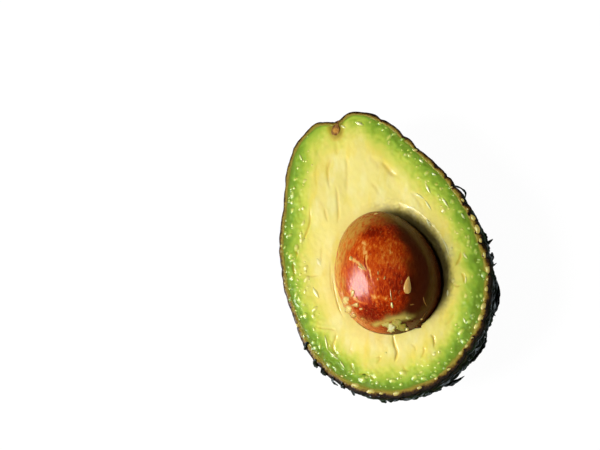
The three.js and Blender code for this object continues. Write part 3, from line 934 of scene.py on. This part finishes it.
def build_skin(material, edge_material):
    around = turns(SKIN_COLUMNS)
    below = pi / 2 * (np.arange(SKIN_ROWS) / SKIN_ROWS)[:, None] ** 1.12
    deep = np.degrees(below)
    smooth = fruit_at(direction_at(around, below))
    relief, pebble = skin_relief(smooth)
    near_cut = fade(deep, 0, 8)
    scallop = scallop_at(around)
    streaky, torn = streaks_at(around, deep)
    relief = relief * (1 - 0.8 * near_cut) + scallop * near_cut
    relief = relief + belly_at(around, below) + streaky
    outside = smooth + surface_normals(smooth) * relief[..., None]
    outside[0, :, 2] = 0
    outside[..., 2] = np.maximum(outside[..., 2], FOOT_HEIGHT)

    # The cut edge, from the outside in: a rounded dark edge, then a low tan roll.
    flat = direction_at(around)
    right_side = smoothstep(np.sin(around), -0.4, 0.6)
    outer = np.hypot(outside[0, :, 0], outside[0, :, 1])
    ragged = noise_at(circle(around), 0.045, 5.0) + 0.6 * noise_at(circle(around), 0.016, 2.0)
    tan_edge = fruit_radius(flat) + 1.1 * scallop - 0.05 - 0.35 * right_side + 0.34 * ragged
    tan_edge = np.minimum(tan_edge, outer - 0.12)
    inner = fruit_radius(flat) - SKIN_THICKNESS - 0.35
    dark, roll, heights = (np.array(v)[:, None] for v in (DARK_STEPS, ROLL_STEPS, CUT_HEIGHTS))
    reach = (outer + (tan_edge - outer) * dark, tan_edge + (inner - tan_edge) * roll)
    cut = flat * np.concatenate(reach)[..., None]
    lumpy = 0.17 * noise_at(cut, 0.75) + 0.12 * noise_at(cut, 2.0, 2.0)
    cut[..., 2] = heights + lumpy * smoothstep(heights, 0.1, 0.2)
    on_cut = np.concatenate([0.14 + 0.2 * dark, 0.34 + 0.66 * roll])
    dip = np.clip(-scallop / SCALLOP_HEIGHT + 0.5 * ragged, 0, 0.8)
    on_cut = on_cut - 0.5 * right_side * dip * smoothstep(on_cut, 0.3, 0.5)
    inside_below = pi / 2 * np.arange(INSIDE_ROWS)[:, None] / INSIDE_ROWS
    inside = fruit_at(direction_at(around, inside_below), SKIN_THICKNESS)

    stretches = (outside[::-1], cut, inside)
    rings = np.concatenate(stretches)
    values = {
        "pebble": over(stretches, pebble[::-1], 0, 0),
        "torn": over(stretches, torn[::-1], 0, 0),
        "run": RIM_RADIUS * around,
        "down": over(stretches, DOWN_PER_DEGREE * deep[::-1], 0, 0),
        "rim": over(stretches, near_cut[::-1], on_cut, 1),
        "cut": over(stretches, 0, on_cut, 1),
    }
    bottom, top = FOOT_HEIGHT * UP, (FOOT_HEIGHT + SKIN_THICKNESS) * UP
    made = dress("peel", loft(rings, bottom, top, **values), "skin", material, "skin")
    made.data.materials.append(edge_material)
    # Each column of faces goes once over the rings, then has one face at each pole.
    column = np.zeros(len(rings) + 1, int)
    column[SKIN_ROWS - 1 : SKIN_ROWS - 1 + len(cut)] = 1
    made.data.polygons.foreach_set("material_index", np.tile(column, SKIN_COLUMNS))


def scale_loft(around, below, length, width, turn, lift, thickness, seed):
    """A torn scale that follows the skin from its sunken root and rises to a ragged, narrow tip."""
    place = direction_at(radians(around), radians(below))
    along_rim = unit(np.cross([0, 0, -1], place))
    down_back = np.cross(place, along_rim)
    lengthways = along_rim * cos(radians(turn)) + down_back * sin(radians(turn))
    u = np.linspace(-1, 1, SCALE_RINGS)[:, None]
    v = turns(SCALE_COLUMNS)
    torn = 1 + 0.3 * noise_at(at(u * length / 1.6, 0, seed), 1)
    half = np.sqrt(1 - u**2) * (1 - SCALE_TAPER * u) * torn
    across = np.cos(v) * half * width / 2 + 0.12 * width * np.sin(2.4 * u + seed)
    to_tip = (1 + u) / 2
    thick = np.sin(v) * np.sqrt(1 - u**2) * (thickness + 0.9 * lift * to_tip**2) / 2
    along = (u * length / 2, lengthways)
    flat = stepped(peel_at(place), along, (across, np.cross(place, lengthways)))
    rise = (SCALE_SUNK + 0.6 * lift) * to_tip**2 - SCALE_SUNK
    rings = peel_at(unit(flat), rise + 0.12 * lift * np.cos(v) * to_tip + thick)
    whole = rings[1:-1], rings[0].mean(0), rings[-1].mean(0)
    rings, start, end = (np.minimum(points, BELOW_CUT) for points in whole)
    run, down = u[1:-1] * length / 2, across[1:-1] + 9 * seed
    return loft(rings, start, end, pebble=0.3, rim=0, torn=1, run=run, down=down)


def flap_loft(halves, *pixels, seed):
    """A thin ragged flap of peel along the pixels that show it, its root sunk in the peel."""
    path = on_peel(*smooth_line(pixels, 8).T)
    share = np.linspace(0, 1, len(path))[:, None]
    half = np.interp(share, np.linspace(0, 1, len(halves)), halves)
    half = half * (1 + 0.35 * noise_at(at(6 * share, 0, seed), 0.7))
    path = path - 0.7 * unit(path) * fade(share, 0, 0.3)
    along = unit(np.gradient(path, axis=0))
    sideways = unit(np.cross(BACK, along))[:, None]
    v = turns(FLAP_COLUMNS)
    across = half * np.cos(v)
    back = np.minimum(0.22, 0.5 * half) * np.sin(v) + 0.1 * half * np.sin(3 * v + seed)
    rings = stepped(path[:, None], (across, sideways), (back, BACK))
    start, end = path[0] - 0.1 * along[0], path[-1] + 0.1 * along[-1]
    run, down = 8 * share, across + 9 * seed
    return loft(rings, start, end, pebble=0.2, rim=0, torn=1, run=run, down=down)


def build_scales(material):
    random = np.random.default_rng(11)
    parts = [scale_loft(*scale, SCALE_THICKNESS, seed=i * 1.7) for i, scale in enumerate(SCALES)]
    for i in range(SMALL_SCALES):
        around, below = random.uniform(78, 188), random.uniform(4, 25)
        length, width = random.uniform(3, 8), random.uniform(0.8, 2.2)
        turn = random.choice([0, 180]) + random.uniform(-22, 22)
        lift = random.uniform(0.1, 0.5)
        parts.append(scale_loft(around, below, length, width, turn, lift, 0.5, seed=i * 2.3))
    parts += [flap_loft(*flap, seed=i * 1.3) for i, flap in enumerate(FLAPS)]
    dress("skin_scales", joined(parts), "skin", material)


# ---------- The flesh ----------


def face_relief(x, y, outline_gap, cavity_gap):
    """Height of the cut face over the plane of the cut, and how much each point lies in a crease,
    which sets the shade painted there.
    """
    inside = smoothstep(outline_gap, 0, FACE_SHOULDER)
    ridges = np.sin((x + RIDGE_BEND * np.sin(y / RIDGE_LENGTH)) / RIDGE_WIDTH)
    swell = np.sin(x / SWELL_WIDTH + y / SWELL_LENGTH)
    side = LIP_LEAST + (1 - LIP_LEAST) * smoothstep(to_right(x, y), -0.2, 0.95)
    lip = np.clip(1 - cavity_gap / LIP_REACH, 0, 1)
    height = FACE_EDGE + inside * (FACE_RISE + FACE_WAVE * (ridges + swell))
    height = height - LIP_DROP * side * lip**LIP_POWER
    crease_shade_and_stain = np.zeros_like(x)
    for half_width, depth, *pixels in CREASES:
        share = stroke(x, y, [on_face(*p) for p in pixels], 0.85 * half_width)
        height = height - 0.75 * depth * share
        # A crease's share of each point sets the shade painted in it.
        crease_shade_and_stain = np.maximum(crease_shade_and_stain, share * min(1, depth / half_width))
    flat = at(x, y, 0)
    bumpy = smoothstep(outline_gap, 0.5, 1.6) * fade(outline_gap, 6, 10)
    height = height + bumpy * (0.13 * noise_at(flat, 1.25, 21.0) + 0.12 * noise_at(flat, 2.6, 24.0))
    fibres = 0.05 * noise_at(flat, (1.8, 5, 1)) + 0.03 * noise_at(flat, (1.2, 1.8, 1), 4.0)
    return height + inside * (fibres + 0.16 * noise_at(flat, (5, 8, 1), 9.0)), crease_shade_and_stain


def to_right(x, y):
    """How far round towards the right of the face each point is, from -1 to 1."""
    return (x + 0.2 * y) / np.hypot(x, y)


def tone_at(gap, around):
    """Tone of the flesh from 0, under the skin, to 1, butter yellow, by its gap to the skin."""
    angles, shifts, far_shifts = np.transpose(TONES)
    shift, far = (
        np.interp(np.degrees(around), angles, v, period=360) for v in (shifts, far_shifts)
    )
    toned = gap + shift * smoothstep(gap, -0.3, 1.1) + far * smoothstep(gap, 1, 10)
    return np.maximum(toned, 0.95 * smoothstep(gap, 0.2, 1)) / YELLOW_GAP


def build_flesh(material):
    around = turns(FLESH_SPOKES)
    flat = direction_at(around)
    outline, edge = fruit_at(flat, SKIN_THICKNESS - 0.05), on_cavity(flat) * LEVEL
    even = (np.arange(FACE_RINGS) + 0.5) / FACE_RINGS
    t = 0.5 * (1 - np.cos(pi * even)) / 2 + 0.5 * even
    face = edge + (outline - edge) * t[:, None, None]
    x, y = face[..., 0], face[..., 1]
    outline_gap, cavity_gap = size_of(face - outline), size_of(face - edge)
    face[..., 2], crease_shade_and_stain = face_relief(x, y, outline_gap, cavity_gap)

    # The cavity's wall, from its bottom up to the rounded lip.
    risen = ((np.arange(CAVITY_RINGS) + 1)[:, None] / CAVITY_RINGS) ** 0.8
    wall = on_cavity(direction_at(around, pi / 2 - (pi / 2 - 0.1) * risen))
    wall = wall[wall[..., 2].max(axis=1) < face[0, :, 2].min() - 0.15]

    # The outside under the skin, from the rim down to the bottom.
    down = pi / 2 * (np.arange(UNDER_RINGS) + 0.2)[:, None] / UNDER_RINGS
    outside = fruit_at(direction_at(around, down), SKIN_THICKNESS + 0.1)

    tone = tone_at(outline_gap, around)
    margin = smoothstep(outline_gap, 0.4, 2) * fade(outline_gap, 9, 14)
    mottle = noise_at(face, (4, 5, 4), 12.0) + 0.7 * noise_at(face, 1.7, 14.0)
    tone = np.maximum(tone + 0.13 * mottle * margin, 0.07 * smoothstep(outline_gap, 0.2, 0.8))
    ragged = 1.2 * noise_at(face, 0.9, 31.0) + 1.0 * noise_at(face, 2.2, 33.0)
    # Near the cavity the flesh is browned a little all round, and more towards the right, where
    # this is a painted shadow of the seed; the cavity's wall likewise.
    painted_shadow_side = smoothstep(to_right(x, y), 0.1, 0.75)
    browned_and_shadow = fade(cavity_gap + ragged, 0, 5.4) * (0.1 + 0.6 * painted_shadow_side)
    # A brown and orange stain round the stem and in its notch, made with the crease tint and the
    # browning.
    from_stem = np.hypot(x - (STEM_X - 1.3), (y - (STEM_OUTER_END - 3.1)) * 0.7)
    browned_and_shadow = np.maximum(browned_and_shadow, 0.45 * fade(from_stem + 0.2 * ragged, 1.6, 3.2))
    crease_shade_and_stain = np.maximum(crease_shade_and_stain, fade(from_stem + 0.3 * ragged, 2, 3.8))
    from_notch = np.hypot(x - STEM_X - 0.4, (y - STEM_OUTER_END) * 0.6)
    browned_and_shadow = np.maximum(browned_and_shadow, 0.6 * fade(from_notch + 0.2 * ragged, 0.8, 2.6))
    stretches = (wall, face, outside)
    values = {
        "tone": over(stretches, 0.7, np.clip(tone, 0, 1), 0),
        "crease_shade_and_stain": over(stretches, 0, np.clip(crease_shade_and_stain, 0, 1), 0),
        "browned_and_shadow": over(stretches, 0.12 + 0.82 * painted_shadow_side[0], browned_and_shadow, 0),
    }
    bottom, under = on_cavity(-UP), (FOOT_HEIGHT + SKIN_THICKNESS + 0.1) * UP
    part = loft(np.concatenate(stretches), bottom, under, **values)
    dress("flesh_body", part, "flesh", material, "flesh")


def on_face_at(points):
    """Points set on the finished face, and their gaps to the skin."""
    points = points * LEVEL
    spoke = unit(points)
    gap = size_of(points - fruit_at(spoke, SKIN_THICKNESS))
    cavity_gap = size_of(points - on_cavity(spoke) * LEVEL)
    height, _ = face_relief(points[:, 0], points[:, 1], gap, cavity_gap)
    return points + height[:, None] * UP, gap


def dome_loft(place, along, size, tones, seed):
    """A low dome that blends into the face: half length, half width and height."""
    along = unit(along * LEVEL)
    share = np.array(DOME_STEPS)[:, None]
    v = turns(DOME_COLUMNS)
    rim = share * (1 + 0.32 * noise_at(circle(v), 0.8, seed))
    rise = np.cos(pi / 2 * share) ** 2
    ends = (size[0] * rim * np.cos(v), along), (size[1] * rim * np.sin(v), np.cross(UP, along))
    rings = stepped(place, *ends, (size[2] * rise - 0.05 * share, UP))
    # Paler towards its top, with a painted highlight on the crest.
    tone = tones[0] + (tones[1] - tones[0]) * rise
    return loft(rings, place + size[2] * UP, place - 0.4 * UP, tone=tone, wet=0.22 * rise**4)


def ridge_loft(path, normals, half_width, height, tones):
    """A low ridge along a path that blends into what it lies on."""
    sideways = np.cross(normals, unit(np.gradient(path, axis=0)))
    across = np.array(RIDGE_STEPS)
    rise = np.cos(pi / 2 * across) ** 2
    rise[-2:] = -0.25
    share = np.linspace(0, 1, len(path))[:, None]
    taper = np.sin(pi * np.clip(share, 0.04, 0.96)) ** 0.7
    up = height * taper * rise - 0.04
    spread = half_width * taper * across
    rings = stepped(path[:, None], (spread, sideways[:, None]), (up, normals[:, None]))
    shown = taper * np.maximum(rise, 0)
    # Paler along its crest, with a highlight painted on it.
    tone = tones[0] + (tones[1] - tones[0]) * shown
    wet = min(0.8, 2.2 * height) * shown * np.maximum(rise, 0)
    start, end = path[0] - 0.1 * normals[0], path[-1] - 0.1 * normals[-1]
    return loft(rings, start, end, tone=tone, wet=wet)


def build_beads(material):
    random = np.random.default_rng(5)
    beads = [(*on_face(x, y), half) for x, y, half in DROPS]
    for start, end, count, reach in BEAD_STRETCHES:
        for _ in range(count):
            spoke = direction_at(radians(random.uniform(start, end)))
            gap = 0.5 + (reach - 0.5) * random.uniform() ** 1.3
            x, y, _ = fruit_at(spoke, SKIN_THICKNESS + gap)
            beads.append((x, y, 0.26 + 0.5 * random.uniform() ** 2))
    places, gaps = on_face_at(np.array(beads))
    parts = []
    for place, gap, (x, y, half) in zip(places * LEVEL, gaps, beads):
        around = atan2(x, y)
        along = np.array([cos(around), -sin(around), 0]) + 0.6 * random.normal(size=3)
        size = (1.9 * half * random.uniform(1, 1.5), 1.7 * half, half * 0.44)
        tone = tone_at(gap, around)
        parts.append(dome_loft(place, along, size, (tone, min(0.95, tone + 0.24)), seed=x))
    for half_width, height, *pixels in STREAKS:
        path = smooth_line([(*on_face(*p), 0) for p in pixels])
        tone = tone_at(on_face_at(path)[1].mean(), atan2(*path.mean(0)[:2]))
        tones = (tone, min(1, tone + 0.3))
        parts.append(ridge_loft(path, UP + 0 * path, 1.4 * half_width, 0.9 * height, tones))
    # Each was made over a plane, and is lifted by the height of the face under every point.
    points, faces, values = joined(parts)
    points[:, 2] += on_face_at(points)[0][:, 2]
    dress("flesh_beads", (points, faces, values), "flesh", material)


def build_rim_beads(material):
    parts = []
    for i, (x, y, half) in enumerate(RIM_BEADS):
        place = np.array([*on_face(x, y, 0.3), 0.18])
        along = np.array([place[1], -place[0], 0])
        bead = dome_loft(place, along, (half * 1.8, half, half * 0.42), (0.35, 0.8), seed=i * 3.1)
        bead[2]["green"] = 0.2 + bead[2]["tone"] * 0.3
        parts.append(bead)
    dress("rim_beads", joined(parts), "flesh", material)


# ---------- The seed ----------


def build_seed(material):
    along = pi * (np.arange(SEED_RINGS) + 1)[:, None] / (SEED_RINGS + 1)
    v = turns(SEED_COLUMNS)
    smooth = on_egg(at(np.sin(along) * np.cos(v), np.cos(along), np.sin(along) * np.sin(v)))
    # Shallow dents, and fine ridges along the seed.
    relief = 0.16 * noise_at(smooth, 7, 1.0) + 0.05 * noise_at(smooth, (0.9, 7, 0.9), 6.0)
    rings = smooth + surface_normals(smooth) * (relief - 0.12)[..., None]
    ragged = 2.2 * noise_at(rings, 3.5, 8.0)

    def apart(pixels):
        """How far each point is from what a line of pixels shows."""
        line, _ = on_seed(*np.transpose(pixels))
        return size_of(rings[..., None, :] - line).min(-1)

    # Where each point is across the seed from its left and up from its lower end, as it lies.
    across, above = rings @ RIGHT, rings @ UPWARD
    from_edge = np.hypot(across, above * 0.86) + 0.6 * ragged
    # Brown, and near black further right, on the side turned from the lamps: partly the seed's own
    # brown and partly painted shade.
    brown = 0.94 * smoothstep(across + 0.018 * above**2 + 0.7 * ragged, 3, 8)
    tan = 0.85 * smoothstep(above - 0.45 * across + 0.8 * ragged, 7.5, 15.5)
    tan = tan * smoothstep(from_edge, 13, 16.6) * fade(across, 0, 6)
    olive = 0.9 * smoothstep(above, 8, 13) * smoothstep(from_edge, 13, 16)
    olive = olive * smoothstep(across, -4, 2)
    dark = 0.95 * smoothstep(across - 0.15 * above + 0.7 * ragged, 6.5, 12) * (1 - 0.8 * olive)
    left_rim = smoothstep(from_edge, 13.8, 16.4) * smoothstep(-across, 2, 10)
    low_rim = smoothstep(-above, 11, 15) * smoothstep(from_edge, 15.6, 16.8) * fade(across, 5, 12)
    film = np.maximum(0.7 * smoothstep(-across + 0.3 * ragged, 14.8, 16.8), 0.45 * left_rim)
    film = np.maximum(film, 0.15 * low_rim)
    for reach, pixel in SEED_FILMS:
        gap = apart([pixel]) + 0.8 * ragged
        film = np.maximum(film, 0.75 * fade(gap, 0.6 * reach, reach))
    smear = 0.9 * fade(apart(smooth_line(SEED_SMEAR, 6)) + 0.8 * ragged, -0.8, 3.6) ** 2
    pale = 0
    for amount, reach, pixel in SEED_BLOTCHES:
        pale = pale + amount * np.exp(-(((apart([pixel]) + 0.5 * ragged) / reach) ** 2))
    for amount, half_width, *pixels in SEED_VEINS:
        pale = pale + amount * np.exp(-((apart(smooth_line(pixels, 6)) / half_width) ** 2))
    values = {"brown": brown, "tan": tan, "olive": olive, "dark": dark, "film": film}
    poles = [on_egg(np.array([0, s, 0.0])) for s in (1.0, -1.0)]
    part = loft(rings, *poles, smear=smear, pale=pale, **values)
    dress("seed_body", part, "seed", material, "seed")


def crumb_loft(pixel, to, size, taper, tone, green=0, *, seed):
    """A small rounded crumb on the seed, narrower towards the pixel that it points to."""
    place, normal = on_seed(*pixel)
    lengthways = on_seed(*to)[0] - place
    lengthways = unit(lengthways - normal * (lengthways @ normal))
    u = np.cos(pi * (np.arange(CRUMB_RINGS) + 1) / (CRUMB_RINGS + 1))[:, None]
    v = turns(CRUMB_COLUMNS)
    girth = np.sqrt(1 - u**2) * (1 - taper * u)
    local = at(u, girth * np.cos(v), girth * np.sin(v))
    local = local * (1 + 0.2 * noise_at(local, 0.8, seed))[..., None]
    middle = place + normal * size[2] * 0.1
    axes = lengthways, np.cross(normal, lengthways), normal
    rings = stepped(middle, *((p * s, way) for p, s, way in zip(split(local), size, axes)))
    reach = size[0] * lengthways
    return loft(rings, middle + reach, middle - reach, tone=tone, green=green)


def thread_loft(half_width, height, tone, *pixels):
    path, normals = on_seed(*smooth_line(pixels).T)
    part = ridge_loft(path, normals, 1.4 * half_width, height, (tone, tone))
    part[2]["green"] = 0 * part[2].pop("wet")
    return part


def shred_loft(middle, reach, height, white, green=0, *, seed):
    """A ragged film that lies on the seed, and bridges to the flesh where it reaches beyond it."""
    angle = turns(FILM_COLUMNS)
    wander = circle(angle)
    ragged = 1 + 0.45 * noise_at(wander, 0.5, seed) + 0.2 * noise_at(wander, 0.2, seed)
    share = (np.arange(FILM_RINGS) + 1)[:, None] / FILM_RINGS
    out = share * np.interp(angle, np.arange(5) * pi / 2, [*reach, reach[0]]) * ragged
    x, y = middle[0] + out * np.cos(angle), middle[1] - out * np.sin(angle)
    ray = sight_line(x, y)
    # How far off the seed is, or the flesh where that is nearer or a pixel misses the seed.
    shown, _ = on_seed(x, y)
    depth = np.where((in_seed(shown) ** 2).sum(-1) < 1.01, size_of(shown - EYE), 1e6)
    flat = at_height(ray, 0)
    face, _ = on_face_at(flat.reshape(-1, 3))
    depth = np.minimum(depth, ((face.reshape(flat.shape) - EYE) * ray).sum(-1))
    for _ in range(10):
        blurred = (np.roll(depth, 1, 1) + np.roll(depth, -1, 1) + 2 * depth) / 4
        blurred[1:-1] = (blurred[:-2] + blurred[2:] + 2 * blurred[1:-1]) / 4
        depth = np.minimum(depth, blurred)
    bumps = noise_at(EYE + ray * depth[..., None], 0.9, seed)
    rise = height * (1 - share**3) * (1 + 0.5 * bumps) - 0.35 * share**6
    rings = EYE + ray * (depth - rise)[..., None]
    tone = white - 0.42 * share**2 + 0.2 * bumps
    greens = np.clip(green + 0.3 * (share - 0.3) + 0.3 * bumps, 0, 1) * (green > 0)
    under = EYE + ray[0, 0] * (depth[0].mean() + 0.6)
    return loft(rings, rings[0].mean(0), under, tone=tone, green=greens)


def build_crumbs(material):
    parts = [crumb_loft(*crumb, seed=i * 2.1) for i, crumb in enumerate(SEED_CRUMBS)]
    parts += [thread_loft(*thread) for thread in SEED_THREADS]
    parts += [shred_loft(*part, seed=i * 3.7 + 1) for i, part in enumerate(TISSUE)]
    parts += [shred_loft(*part, seed=i * 4.3 + 2) for i, part in enumerate(SHREDS)]
    dress("seed_crumbs", joined(parts), "flesh", material)


# ---------- The stem stub ----------


def build_stem(material):
    inwards, radii, bends, tops = np.transpose(STEM_PROFILE)
    fine = np.linspace(0.02, inwards[-1], STEM_RINGS)[:, None]
    radius, bend, top = (np.interp(fine, inwards, v) for v in (radii, bends, tops))
    v = turns(STEM_COLUMNS)
    across, up = radius * np.cos(v), np.minimum(radius * np.sin(v), top)
    rings = at(STEM_X - bend + across, STEM_OUTER_END - fine, up)
    rings = rings + 0.16 * noise_at(rings, 0.7)[..., None] * BACK
    centre = np.array([STEM_X - 1.4, STEM_OUTER_END - 3.5, 0.6])
    from_centre = size_of((rings - centre) * [1, 1, 0.3])
    core = fade(from_centre + 0.4 * noise_at(rings, 0.6, 4.0), 0.5, 1.5)
    start, end = (
        np.array([STEM_X - bends[i], STEM_OUTER_END - inwards[i], -0.1]) for i in (0, -1)
    )
    dress("stem_stub", loft(rings, start, end, core=core), "stem", material, "stem")


# ---------- Stage, light and camera ----------


def add_camera():
    data = bpy.data.cameras.new("camera")
    data.lens, data.sensor_width, data.clip_start = LENS, SENSOR_WIDTH, 0.01
    made = linked("camera", data)
    turned = Matrix(np.array([RIGHT, UPWARD, BACK]).T).to_4x4()
    made.matrix_world = Matrix.Translation(to_row(EYE)) @ turned
    bpy.context.scene.camera = made


def add_lamp(name, direction, size, watts, diffuse=True):
    """A soft lamp that faces the fruit, for its colour or else for its highlights."""
    data = bpy.data.lights.new(name, "AREA")
    data.shape = "RECTANGLE" if diffuse else "ELLIPSE"
    data.size, data.size_y = size
    data.energy = watts
    made = linked(name, data)
    made.visible_diffuse, made.visible_glossy = diffuse, not diffuse
    toward = Vector(direction).normalized()
    made.location = Vector(ORIGIN) + toward * LAMP_DISTANCE
    made.rotation_euler = toward.to_track_quat("Z", "Y").to_euler()


def add_world():
    """A plain white surround that only the camera sees, so that it doesn't veil the dark peel."""
    world = bpy.data.worlds.new("surround")
    world.use_nodes = True
    background = world.node_tree.nodes["Background"]
    background.inputs["Color"].default_value = WHITE
    background.inputs["Strength"].default_value = 1.0
    seen = world.cycles_visibility
    seen.diffuse = seen.glossy = seen.transmission = seen.scatter = False
    bpy.context.scene.world = world


def add_floor():
    """A plain, softly lit white table."""
    mesh = bpy.data.meshes.new("floor")
    corners = [(x * FLOOR_HALF, y * FLOOR_HALF, 0) for x, y in ((-1, -1), (1, -1), (1, 1), (-1, 1))]
    mesh.from_pydata(corners, [], [(0, 1, 2, 3)])
    made = linked("floor", mesh)
    even = {"Roughness": 0.7, "Base_Color": (0.06, 0.06, 0.06, 1)}
    even |= {"Emission_Color": WHITE, "Emission_Strength": 0.97}
    mesh.materials.append(Finish("white_table", 0, **even).material)
    made.visible_glossy = False


# ---------- The whole ----------

add_camera()
add_world()
add_floor()
add_lamp("overhead", (-0.57, -0.04, 0.82), (0.42, 0.42), 13.1)
add_lamp("side", (-0.84, 0.05, 0.5), (0.72, 0.72), 3.4)
add_lamp("fill", (0.35, -0.2, 0.9), (1.4, 1.4), 3.2)
add_lamp("window", (-0.8, 0.1, 0.5), (0.82, 1.1), 38, diffuse=False)
bpy.context.scene.view_settings.view_transform = "Standard"

SKIN, FLESH, FLAKES = skin_material(), flesh_material(), flake_material()
build_skin(SKIN, cut_edge_material())
build_scales(SKIN)
build_flesh(FLESH)
build_beads(FLESH)
build_rim_beads(FLAKES)
build_seed(seed_material())
build_crumbs(FLAKES)
build_stem(stem_material())
